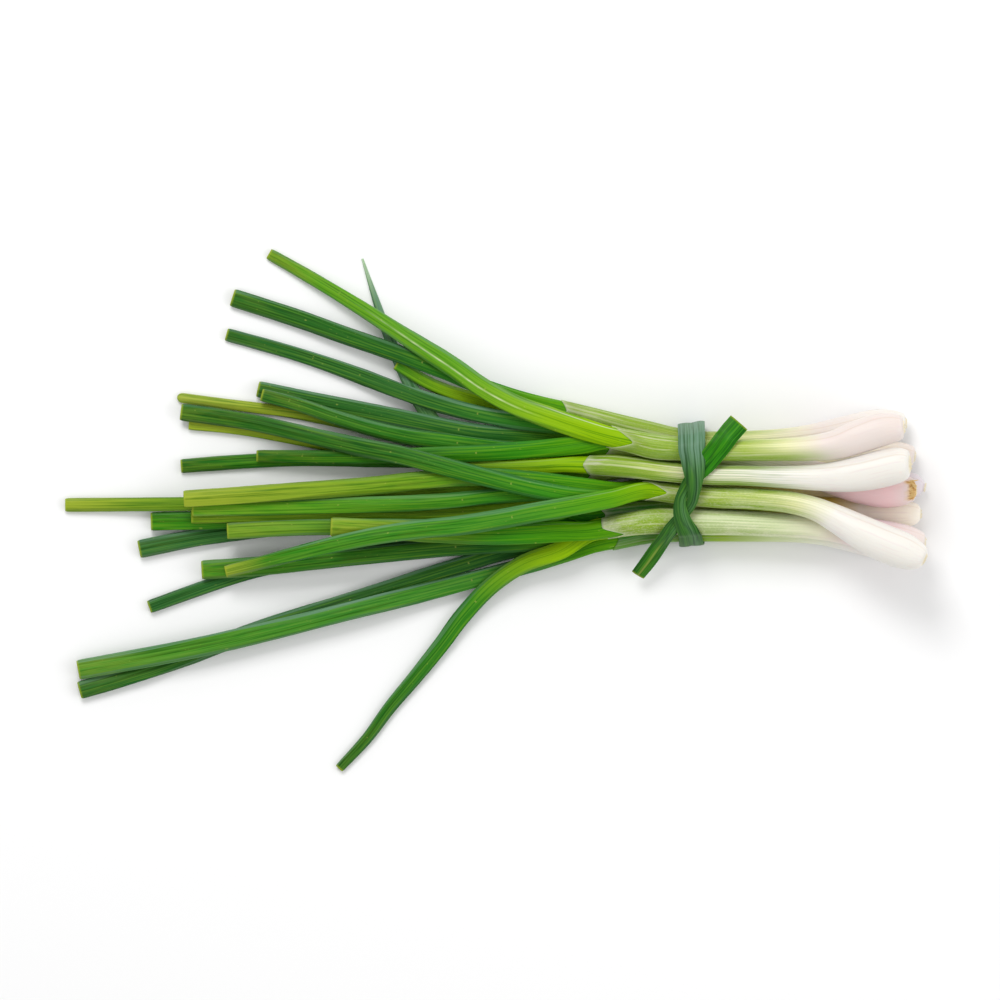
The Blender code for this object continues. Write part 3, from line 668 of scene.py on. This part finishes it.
def grown(piece, group, **inputs):
    """Runs the geometry nodes on the piece and keeps the result as its plain mesh."""
    modifier = piece.modifiers.new(group.name, "NODES")
    modifier.node_group = group
    for socket in group.interface.items_tree:
        if socket.in_out == "INPUT" and socket.name in inputs:
            modifier[socket.identifier] = inputs[socket.name]
    graph = bpy.context.evaluated_depsgraph_get()
    mesh = bpy.data.meshes.new_from_object(piece.evaluated_get(graph))
    piece.modifiers.remove(modifier)
    old = piece.data
    piece.data = mesh
    bpy.data.meshes.remove(old)


def closed_skin(name, points, attributes):
    """A closed body through rings of points in millimetres, with a middle point to close each end.

    attributes holds an array of the same rows and columns for each name, with 3 numbers for a colour or a
    place.
    """
    rows, sides = points.shape[:2]
    points[..., 2] = np.maximum(points[..., 2], FLOOR_GAP)

    def with_ends(values):
        first, last = values[0].mean(axis=0), values[-1].mean(axis=0)
        return np.concatenate([values.reshape(rows * sides, -1), first.reshape(1, -1), last.reshape(1, -1)])

    faces = []
    for row in range(rows - 1):
        for side in range(sides):
            a, b = row * sides + side, row * sides + (side + 1) % sides
            faces.append((a, a + sides, b + sides, b))
    start, end = rows * sides, rows * sides + 1
    last = (rows - 1) * sides
    faces += [(start, side, (side + 1) % sides) for side in range(sides)]
    faces += [(end, last + (side + 1) % sides, last + side) for side in range(sides)]
    mesh = bpy.data.meshes.new(name)
    mesh.from_pydata((with_ends(points) * MM).tolist(), [], faces)
    for key, values in attributes.items():
        values = with_ends(np.asarray(values, float))
        kind, field = "FLOAT", "value"
        if key == "tone":
            kind, field = "FLOAT_COLOR", "color"
            values = np.column_stack([values, np.ones(len(values))])
        elif values.shape[1] == 3:
            kind, field = "FLOAT_VECTOR", "vector"
        layer = mesh.attributes.new(key, kind, "POINT")
        layer.data.foreach_set(field, values.ravel().astype(np.float32))
    mesh.update()
    shape = bmesh.new()
    shape.from_mesh(mesh)
    if shape.calc_volume(signed=True) < 0:
        bmesh.ops.reverse_faces(shape, faces=shape.faces)
    shape.to_mesh(mesh)
    shape.free()
    mesh.shade_smooth()
    return placed(name, mesh)


def placed(name, content):
    """An object with the content, in the scene."""
    piece = bpy.data.objects.new(name, content)
    bpy.context.scene.collection.objects.link(piece)
    return piece


def smooth_step(values, low, high):
    """0 below low, 1 above high and smooth between them."""
    t = np.clip((values - low) / (high - low), 0, 1)
    return t * t * (3 - 2 * t)


def along_span(place, name):
    """How far a place is through the named span."""
    return smooth_step(place, *SPANS[name])


def along_end(place, length, name):
    """How far a place is through the named span before the end of a length."""
    low, high = END_SPANS[name]
    return smooth_step(place, length - low, length - high)


def ridge(offset, width):
    """1 at no offset, which falls off smoothly over the width."""
    return np.exp(-((offset / width) ** 2))


def wander(places, seed, wave):
    """A slow, smooth variation between about -1 and 1 along a piece, with waves of about that length."""
    phases = np.random.default_rng(seed).uniform(0, 2 * np.pi, 4)
    waves = (
        np.sin(2 * np.pi * places * (0.6 + 0.37 * k) / wave + phase) for k, phase in enumerate(phases))
    return sum(waves) / 2.4


def around(kind):
    """The angles of the points round a skin's section, from its underside."""
    return np.linspace(0, 2 * np.pi, SKIN_SIDES[kind], endpoint=False) - np.pi / 2


def turn_share(angles):
    """The angles as shares of a turn."""
    return (angles + np.pi / 2) / (2 * np.pi)


def ellipse(run, places, angles, wide=1.0, tall=1.0):
    """Points of the run's sections at places and angles, which are arrays of one shape.

    The second array holds the same points of the straightened piece, in metres.
    """
    centre, half_width, half_height, side = run.at(places)
    across = (np.cos(angles) * half_width * wide)[..., None] * side
    points = centre + across
    points[..., 2] += np.sin(angles) * half_height * tall
    straight = np.stack([places, np.cos(angles) * half_width, np.sin(angles) * half_height], axis=-1) * MM
    return points, straight


def turned_from(angles, middle):
    """How far angles are from the middle, from -pi to pi."""
    return np.angle(np.exp(1j * (angles - middle)))


def end_places(length, step, last_steps):
    """Even places along a length, with closer ones at its end."""
    even = np.linspace(0, length - last_steps[0], int((length - last_steps[0]) / step) + 1)
    return np.concatenate([even, length - np.array(last_steps[1:])])


def facets(angle, count, turn, depth):
    """The share of its full size that a section with soft, flat sides keeps at each angle."""
    sector = 2 * np.pi / count
    within = np.mod(angle - turn, sector) - sector / 2
    flat = np.cos(sector / 2) / np.cos(within)
    return 1 - depth * (1 - flat)


def leaf_skin(name, seed, mouth):
    """A leaf's veined skin. mouth is the sheath's run past its collar, for the leaf that shows in it."""
    rings = rings_of(name, LEAF_SIDES)
    pointed, rounded = name == POINTED_LEAF, name == ROUNDED_LEAF
    run = run_of(rings if pointed else rings[:-2], LEAF_SIDES)
    length = run.length if pointed else run.length + LONGER_END
    places = end_places(length, SKIN_STEP["leaf"], END_STEPS)
    if mouth:
        places = np.concatenate([np.arange(-TUCKED_LENGTH, -0.1, TUCKED_STEP), places])
    place, angle = np.meshgrid(places, around("leaf"), indexing="ij")

    midrib = np.pi / 2 + 0.3 * wander(place, seed, 150)
    groove = 0.1 * (1 - along_span(place, "groove fades")) * ridge(turned_from(angle, midrib), 0.35)
    flat = 1 - facets(angle, 5 + seed % 2, 0.5 * wander(place, seed + 50, 170), 0.75)
    size = 1.05 - along_span(place, "settled") * (groove + flat)
    if not pointed:
        size = size - 0.07 * along_end(place, length, "cut draws in") ** 2
    if rounded:
        size = size * np.sqrt(1 - 0.98 * np.clip(1 - (length - place) / ROUNDED_LENGTH, 0, 1) ** 2)
    broad = along_end(place, length, "broad") * (1 - along_end(place, length, "broad fades"))
    points, straight = ellipse(run, place, angle, size * (1 + 0.2 * pointed * broad), size)
    if not pointed:
        rise = points[..., 2] - run.at(places)[0][:, None, 2]
        ahead = run.at(length)[0] - run.at(length - 1)[0]
        lean = CUT_LEAN * along_end(place, length, "cut leans")
        points[..., :2] -= (rise * lean)[..., None] * ahead[:2]
    if mouth:
        tucked, _ = ellipse(mouth, mouth.collar + place, angle, UNDER_SKIN, UNDER_SKIN)
        out = along_span(place, "out of sheath")[..., None]
        points = tucked * (1 - out) + points * out

    looks = leaf_looks(name, seed, place, angle, length)
    rib, edge = PALE_LINES.get(name, (0.0, PLAIN_EDGE_LINE if mouth else 0.0))
    # The middle line: partly the pale keel, partly a painted highlight where the fold catches the light
    keel_line_and_highlight = ridge(turned_from(angle, midrib + 0.12), 0.075) * along_span(place, "rib line")
    keel_line_and_highlight *= (1 - along_span(place, "rib line fades")) * (0.7 + 0.3 * wander(place, seed + 2, 9))
    edge_line = ridge(angle - 0.62, 0.06) * along_span(place, "edge line")
    edge_line *= 1 - along_span(place, "edge line fades")
    looks |= {"run": straight, "margin": edge_line * edge + keel_line_and_highlight * rib}
    if not (pointed or rounded):
        points, looks = with_hollow(run, points, looks)
    return closed_skin(name.replace("onion", "spring_onion"), points, looks)


def leaf_looks(name, seed, place, angle, length):
    """What each point of the leaf reads: colour, coat with painted sheen, painted shade, yellowing, cut."""
    stops, sheen_and_bloom_share, yellow_share = LEAF_LOOKS[name]
    grown_in = along_span(place, "grown")
    # Painted sheen: the grey coat lies thickest along the upper edge, where the light falls from the +y
    # side
    upper_edge = 0.78 + 0.2 * wander(place, seed + 9, 110)
    upper = smooth_step(upper_edge - angle, -0.05, 0.16) * smooth_step(angle, -1.2, -0.6)
    # The lower side, which gets the painted shade and a little of the painted sheen
    lower_edge = 2.42 + 0.22 * wander(place, seed + 4, 120)
    lower = smooth_step(angle - lower_edge, -0.06, 0.2)
    near_tip = along_end(place, length, "yellow tip")
    blunt = name not in (POINTED_LEAF, ROUNDED_LEAF)
    return {
        "tone": stops_at(stops, place.ravel() / length).reshape(*place.shape, 3),
        "bloom_and_sheen": sheen_and_bloom_share * grown_in * np.clip(0.14 + upper + 0.35 * lower, 0, 1),
        # Painted shade on the lower side
        "shade": (0.25 + 0.3 * grown_in) * lower,
        "yellowing": yellow_share * (0.35 + 0.65 * near_tip) * along_span(place, "yellowing"),
        "cut": along_end(place, length, "cut") * (0.75 if blunt else 0.0),
        "inside": np.zeros_like(place),
        "turn": turn_share(angle),
        "veined": along_span(place, "settled") * (1 - along_end(place, length, "veins fade")),
    }


def with_rows(points, looks, rows, before=False, **changes):
    """Adds rows of points at an end of a skin. They look like its end but for the changes, given by row."""
    at = slice(0, 1) if before else slice(-1, None)
    added = {key: np.repeat(values[at], len(rows), axis=0) for key, values in looks.items()}
    for key, values in changes.items():
        added[key] = np.repeat(np.array(values, float)[:, None], points.shape[1], axis=1)
    first, last = (added, looks) if before else (looks, added)
    points = np.concatenate([rows, points] if before else [points, rows])
    return points, {key: np.concatenate([first[key], last[key]]) for key in looks}


def with_hollow(run, points, looks):
    """Adds the cut rim and the wall inside the leaf's open end, the wall deep green as painted shade."""
    middle = points[-1].mean(axis=0)
    back = run.at(run.length - CUT_DEPTH)[0] - run.at(run.length)[0]
    half = np.linalg.norm(points[-1] - middle, axis=1)[:, None]
    rows = [
        middle + (points[-1] - middle) * (1 - CUT_WALL * wall / half) + back * depth
        for wall, depth in CUT_PROFILE
    ]
    return with_rows(points, looks, rows, cut=(0.9, 0.8, 0.3, 0, 0, 0), inside=(0, 0.1, 0.5, 0.9, 1, 1))


class Mouth:
    """The sheath's run carried on past its collar along the leaf that leaves it uppermost."""

    TURNING_LENGTH = 6

    def __init__(self, stem, leaf):
        self.stem, self.leaf = stem, leaf
        self.collar = stem.length

    def at(self, places):
        centre, half_width, half_height, side = self.stem.at(np.minimum(places, self.collar))
        past = np.maximum(places - self.collar, 0)
        reached, _, _, leaf_side = self.leaf.at(past)
        centre = centre + reached - self.leaf.at(0.0)[0]
        turned = np.clip(past / self.TURNING_LENGTH, 0, 1)[..., None]
        return centre, half_width, half_height, unit(side * (1 - turned) + leaf_side * turned)


def mouth_edge(name, angles):
    """How far the sheath reaches past its collar at each angle."""
    reach, notch, middle, width = MOUTHS.get(name, PLAIN_MOUTH)
    under = min(reach, 1.0)
    keys = (-90, -20, middle - width, middle, middle + width, 200, 270)
    reaches = (under, 0.7 * reach, reach, notch, reach, 0.7 * reach, under)
    edge = np.interp(np.degrees(angles), keys, reaches)
    near = np.ones(7) / 7
    return np.convolve(np.concatenate([edge[-3:], edge, edge[:3]]), near, "valid")


def stem_skin(name, seed, mouth):
    """The skin of a bulb and its stem, from the root plate to inside the sheath's mouth."""
    run = mouth.stem
    angles = around("stem")
    plain = np.linspace(0, run.length - MOUTH_LENGTH, int(run.length / SKIN_STEP["stem"]))
    plain = np.concatenate([BULB_END, plain[1:]])
    share = np.linspace(0, 1, MOUTH_SECTIONS + 1)[1:, None]
    edges = (run.length - MOUTH_LENGTH) + share * (MOUTH_LENGTH + mouth_edge(name, angles))
    place = np.concatenate([np.repeat(plain[:, None], len(angles), axis=1), edges])
    angle = np.repeat(angles[None], len(place), axis=0)
    cut_back = ROOT_CUTS.get(name, PLAIN_ROOT_CUT) * (1 + np.sin(angle - 0.4)) / 2
    place = place + cut_back * np.clip(1 - place / 12, 0, 1)

    past_layer = turned_from(angle, np.pi * 0.28 + 0.16 * wander(place, seed, 90))
    raised = smooth_step(past_layer, -0.05, 0.05) * smooth_step(-np.abs(past_layer), -2.4, -1.6)
    past_cut = np.clip((place - cut_back) / 4.0, 0, 1)
    rounded = 1 - np.sqrt(1 - 0.98 * (1 - past_cut) ** 2)
    size = 1 - DRAWN_IN.get(name, PLAIN_DRAWN_IN) * rounded + 0.018 * raised
    widened = WIDENED.get(name, 0.0) * along_span(place, "widened")
    widened = widened * (1 - along_span(place, "widened fades"))
    points, straight = ellipse(mouth, place, angle, size * (1 + widened), size)

    looks = stem_looks(name, place, angle) | {"run": straight}
    looks["edge"] = ridge(past_layer, 0.04) * (0.15 + 0.45 * (1 - along_span(place, "bulb fades")))
    lip = np.concatenate([np.zeros_like(plain), share[:, 0] ** 8]) * PALE_EDGES.get(name, PLAIN_PALE_EDGE)
    looks["lip"] = np.repeat(lip[:, None], len(angles), axis=1)
    points, looks = with_root_plate(run, points, looks)
    rows = []
    for depth, wall in LIP_PROFILE:
        shrink = 1 - LIP_THICKNESS * wall / run.at(run.length)[1]
        rows.append(ellipse(mouth, edges[-1] - depth, angles, shrink, shrink)[0])
    points, looks = with_rows(points, looks, rows)
    return closed_skin(name.replace("onion", "spring_onion") + "_bulb", points, looks)


def stem_looks(name, place, angle):
    """What the sheath's material reads at each point: colour, stripes, olive sides, dew and dried roots."""
    stops, stripe_share, speckle_share, lower_olive, upper_olive = STEM_LOOKS[name]
    sides = lower_olive * smooth_step(angle, 1.3, 2.4) + upper_olive * smooth_step(1.1 - angle, 0, 0.6)
    on_top = smooth_step(np.sin(angle) + 0.12 * wander(place, 8, 3), 0.5, 0.68)
    at_end = 1 - smooth_step(place + 0.7 * wander(8 * angle, 5, 9), 2.6, 3.4)
    return {
        "tone": stops_at(stops, place.ravel()).reshape(*place.shape, 3),
        "stripe": stripe_share * along_span(place, "stripes"),
        "olive": smooth_step(place, *OLIVE_FROM.get(name, PLAIN_OLIVE_FROM)) * sides * 0.85,
        "speckle": speckle_share * along_span(place, "speckles"),
        "plate": np.zeros_like(place),
        "scab": on_top * at_end * (name == TUFTED_BULB),
        "turn": turn_share(angle),
        "veined": along_span(place, "stem veins"),
    }


def outward_from(run, place, inner):
    """The direction out of the bulb's end, from an inner place to a place nearer the end."""
    return unit(run.at(place)[0] - run.at(inner)[0])


def with_root_plate(run, points, looks):
    """Adds the trimmed plate that the roots grew from, on the bulb's end."""
    first = points[0]
    middle = first.mean(axis=0)
    outward = outward_from(run, 0.0, 2.0)
    rows = np.array([middle + (first - middle) * scale + outward * reach for scale, reach in PLATE_PROFILE])
    wavy = 1 + 0.06 * np.sin(np.arange(first.shape[0]) * 0.9)
    centre = middle + outward * PLATE_REACH
    rows[:3] = centre + (rows[:3] - centre) * wavy[:, None]
    return with_rows(points, looks, rows, before=True, plate=(1, 1, 1, 0.7, 0.1, 0, 0), edge=np.zeros(7))


def limited_slopes(rows, place):
    """Slopes at each row that let a smooth curve through the rows pass none of them."""
    steps = np.diff(rows, axis=0) / np.diff(place)[:, None]
    before, after = np.vstack([steps[:1], steps]), np.vstack([steps, steps[-1:]])
    middle = np.gradient(rows, place, axis=0)
    limit = 2.5 * np.minimum(np.abs(before), np.abs(after))
    return np.where(before * after > 0, np.clip(middle, -limit, limit), 0.0)


def tie_route():
    """Places along the tie leaf, with its centres and half-widths there."""
    rings = rings_of("leaf_tie", LEAF_SIDES, towards=-1)
    centre = np.array([ring.mean(axis=0) for ring in rings])
    place = np.concatenate([[0.0], np.cumsum(np.linalg.norm(np.diff(centre, axis=0), axis=1))])
    half_width = []
    for ring, middle in zip(rings, centre):
        widest = np.linalg.svd(ring - middle)[2][0]
        half_width.append(np.ptp((ring - middle) @ widest) / 2)
    rows = np.column_stack([centre, half_width])
    fine = np.linspace(0, place[-1], int(place[-1] / SKIN_STEP["tie"]))
    found, _ = smooth_rows(rows, limited_slopes(rows, place), place, fine)
    return fine, found[:, :3], found[:, 3]


def tie_section(angles):
    """A flat section's points, from -1 to 1 across and in millimetres outwards, and its upper side."""
    wide = np.sign(np.cos(angles)) * np.abs(np.cos(angles)) ** 0.7
    tall = np.sign(np.sin(angles)) * np.abs(np.sin(angles)) ** 0.8
    lens = (1 - 0.3 * ridge(wide, 0.16)) * (0.35 + 0.65 * np.sqrt(1 - wide**2))
    return wide, TIE_HALF_THICKNESS * (tall * lens + 0.15 * (1 - wide**2)), tall > 0


def tie_skin():
    """The skin of the knotted leaf, from its lower free end round the stems to its upper free end."""
    fine, centre, half_width = tie_route()
    heading = unit(np.gradient(centre, axis=0))
    across = unit(np.array((1.0, 0.0, 0.0)) - heading * heading[:, :1])
    outward = np.cross(across, heading)
    angles = around("tie")
    wide, thick, upper = tie_section(angles)
    points = (
        centre[:, None]
        + (half_width[:, None] * wide)[..., None] * across[:, None]
        + thick[None, :, None] * outward[:, None]
    )
    along = np.repeat(fine[:, None], len(angles), axis=1)
    length = fine[-1]
    height = centre[:, 1:2]
    band = along_span(along, "tie band") * (1 - along_end(along, length, "tie band fades"))
    at_top, at_bottom = TIE_FLARES
    points[..., 1] += at_top * band * smooth_step(wide, -0.2, 1) * smooth_step(height, 20, 28)
    points[..., 1] -= at_bottom * band * smooth_step(-wide, -0.2, 1) * smooth_step(-height, 5, 12)

    straight = np.stack([along, half_width[:, None] * wide, np.tile(thick, (len(fine), 1))], axis=-1) * MM
    # Painted highlight: the coat thickens towards the bunch's upper side, where the light falls, and in a
    # band
    film_and_sheen = 0.06 + 0.75 * smooth_step(height, 13, 27) + 0.25 * ridge(wide - 0.35, 0.3)
    film_and_sheen_reach = along_span(along, "tie bloom") * (1 - along_end(along, length, "tie bloom fades"))
    # Painted shade in the folds: along one edge and along a line that wanders across the leaf
    side_crease_shade = 0.55 * ridge(wide + 0.75, 0.2)
    long_crease_shade = 0.6 * ridge(wide - 0.5 * wander(along, 3, 46), 0.12)
    first_cut = 1 - along_span(along, "first cut fades")
    first_end = 0.25 * (1 - along_span(along, "fresh fades"))
    looks = {
        "run": straight,
        "bloom_and_sheen": film_and_sheen_reach * film_and_sheen,
        "shade": np.maximum(side_crease_shade, long_crease_shade),
        "margin": 0.5 * ridge(wide, 0.07) * (1 - along_span(along, "margin fades")) * upper,
        "cut": 0.8 * np.maximum(first_cut, along_end(along, length, "last cut")),
        "fresh": np.maximum(along_end(along, length, "fresh"), first_end),
        "turn": turn_share(np.tile(angles, (len(fine), 1))),
        "veined": np.ones_like(along),
    }
    return closed_skin("knotted_leaf_tie", points, looks)


def dress(piece, node, veins, material, kind):
    """Raises the skin's veins, gives it its material and puts it in its solid's place."""
    height = VEIN_HEIGHT[kind] * MM
    grown(piece, veins, Veins=float(VEINS[kind]), Height=height, Material=material)
    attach(piece, "root")
    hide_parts(node)


def add_roots(name, points, headings, size, seed, material):
    """Short roots at points in millimetres, each along its heading, added to the solids."""
    mesh = bpy.data.meshes.new(name)
    mesh.from_pydata((np.array(points) * MM).tolist(), [], [])
    layer = mesh.attributes.new("heading", "FLOAT_VECTOR", "POINT")
    layer.data.foreach_set("vector", np.array(headings, np.float32).ravel())
    piece = placed(name, mesh)
    thickness, length = size
    grown(piece, root_tree(), Thickness=thickness * MM, Length=length * MM, Seed=seed, Material=material)
    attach(piece, "root")


def build_trimmed_roots(mouths, scatter):
    """The stubs of the roots on every bulb's plate, on a spiral."""
    points, headings = [], []
    for name, mouth in mouths.items():
        middle, half_width, half_height, side = mouth.at(0.0)
        outward = outward_from(mouth, 0.0, 2.0)
        for index in range(ROOTS):
            reach = 0.4 * np.sqrt((index + 0.5) / ROOTS)
            turn = 2.4 * index
            away = np.cos(turn) * half_width * side + np.array((0, 0, np.sin(turn) * half_height))
            lean = ROOT_CUTS.get(name, PLAIN_ROOT_CUT) * (1 + np.sin(turn) * reach) / 2
            points.append(middle + away * reach + outward * (0.75 - lean))
            headings.append(outward + 0.06 * away + scatter.normal(0, 0.15, 3))
    material = plain_material("trimmed root", colour("root beige"), 0.6)
    add_roots("trimmed_roots", points, headings, ROOT_SIZE, 3, material)


def build_tuft(mouth, scatter):
    """The dried roots that one bulb keeps on the upper side of its end."""
    middle, half_width, half_height, side = mouth.at(2.0)
    outward = outward_from(mouth, 2.0, 3.0)
    points, headings = [], []
    for index in range(TUFT_ROOTS):
        turn = np.pi * (0.24 + 0.56 * index / TUFT_ROOTS) + scatter.normal(0, 0.06)
        away = np.cos(turn) * half_width * side + np.array((0, 0, np.sin(turn) * half_height))
        points.append(middle + away * scatter.uniform(0.9, 0.96) + outward * scatter.uniform(-0.9, 1.5))
        headings.append(outward - side * scatter.normal(0.1, 0.3) - away / half_height * 0.08)
    material = plain_material("dried root", colour("root gold"), 0.7)
    add_roots("dried_root_tuft", points, headings, TUFT_ROOT_SIZE, 5, material)


def build_bunch():
    """Every skin of the bunch, the roots and the tie."""
    veins = vein_tree()
    sheath = stem_material("sheath and bulb")
    blade = leaf_material("leaf blade")
    mouths = {}
    for name, number in UPPERMOST.items():
        stem = run_of(rings_of(name + "_stem", STEM_SIDES)[2:], STEM_SIDES)
        leaf = run_of(rings_of(f"{name}_leaf_{number}", LEAF_SIDES)[:-2], LEAF_SIDES)
        mouths[name] = Mouth(stem, leaf)
    for seed, name in enumerate(STEM_LOOKS):
        dress(stem_skin(name, seed, mouths[name]), name + "_stem", veins, sheath, "stem")
    for seed, name in enumerate(LEAF_LOOKS):
        plant, number = name.split("_leaf_")
        mouth = mouths[plant] if UPPERMOST[plant] == int(number) else None
        dress(leaf_skin(name, seed, mouth), name, veins, blade, "leaf")
    dress(tie_skin(), "leaf_tie", veins, tie_material("tie leaf"), "tie")
    scatter = np.random.default_rng(11)
    build_trimmed_roots(mouths, scatter)
    build_tuft(mouths[TUFTED_BULB], scatter)


def build_studio():
    """The pale floor, the sky and two soft lamps."""
    bpy.ops.mesh.primitive_plane_add(size=FLOOR_SIZE, location=(0, 0, -FLOOR_DROP))
    floor = bpy.context.object
    floor.name = "floor"
    floor.data.materials.append(plain_material("pale floor", (*[FLOOR_GREY] * 3, 1.0), 0.7))

    world = bpy.data.worlds.new("studio")
    world.use_nodes = True
    sky = world.node_tree.nodes["Background"]
    sky.inputs["Color"].default_value = (1.0, 1.0, 1.0, 1.0)
    sky.inputs["Strength"].default_value = SKY_STRENGTH
    bpy.context.scene.world = world

    for name, (place, size, power) in LAMPS.items():
        lamp = bpy.data.lights.new(name, "AREA")
        lamp.size = size
        lamp.energy = power
        light = placed(name, lamp)
        light.location = place
        light.rotation_euler = Vector(-x for x in place).to_track_quat("-Z", "Y").to_euler()


def build_camera():
    """The camera of the photograph's view."""
    camera = bpy.data.cameras.new("camera")
    camera.sensor_width = SENSOR_MM
    camera.lens = SENSOR_MM * (CAMERA_HEIGHT - VIEW_PLANE) / VIEW_WIDTH
    camera.clip_end = FARTHEST
    viewer = placed("camera", camera)
    viewer.location = (*VIEW_CENTRE, CAMERA_HEIGHT)
    bpy.context.scene.camera = viewer
    bpy.context.scene.view_settings.view_transform = "Standard"


for startup in [o for o in bpy.data.objects if o.name in ("Cube", "Light", "Camera")]:
    bpy.data.objects.remove(startup)
build_bunch()
build_studio()
build_camera()
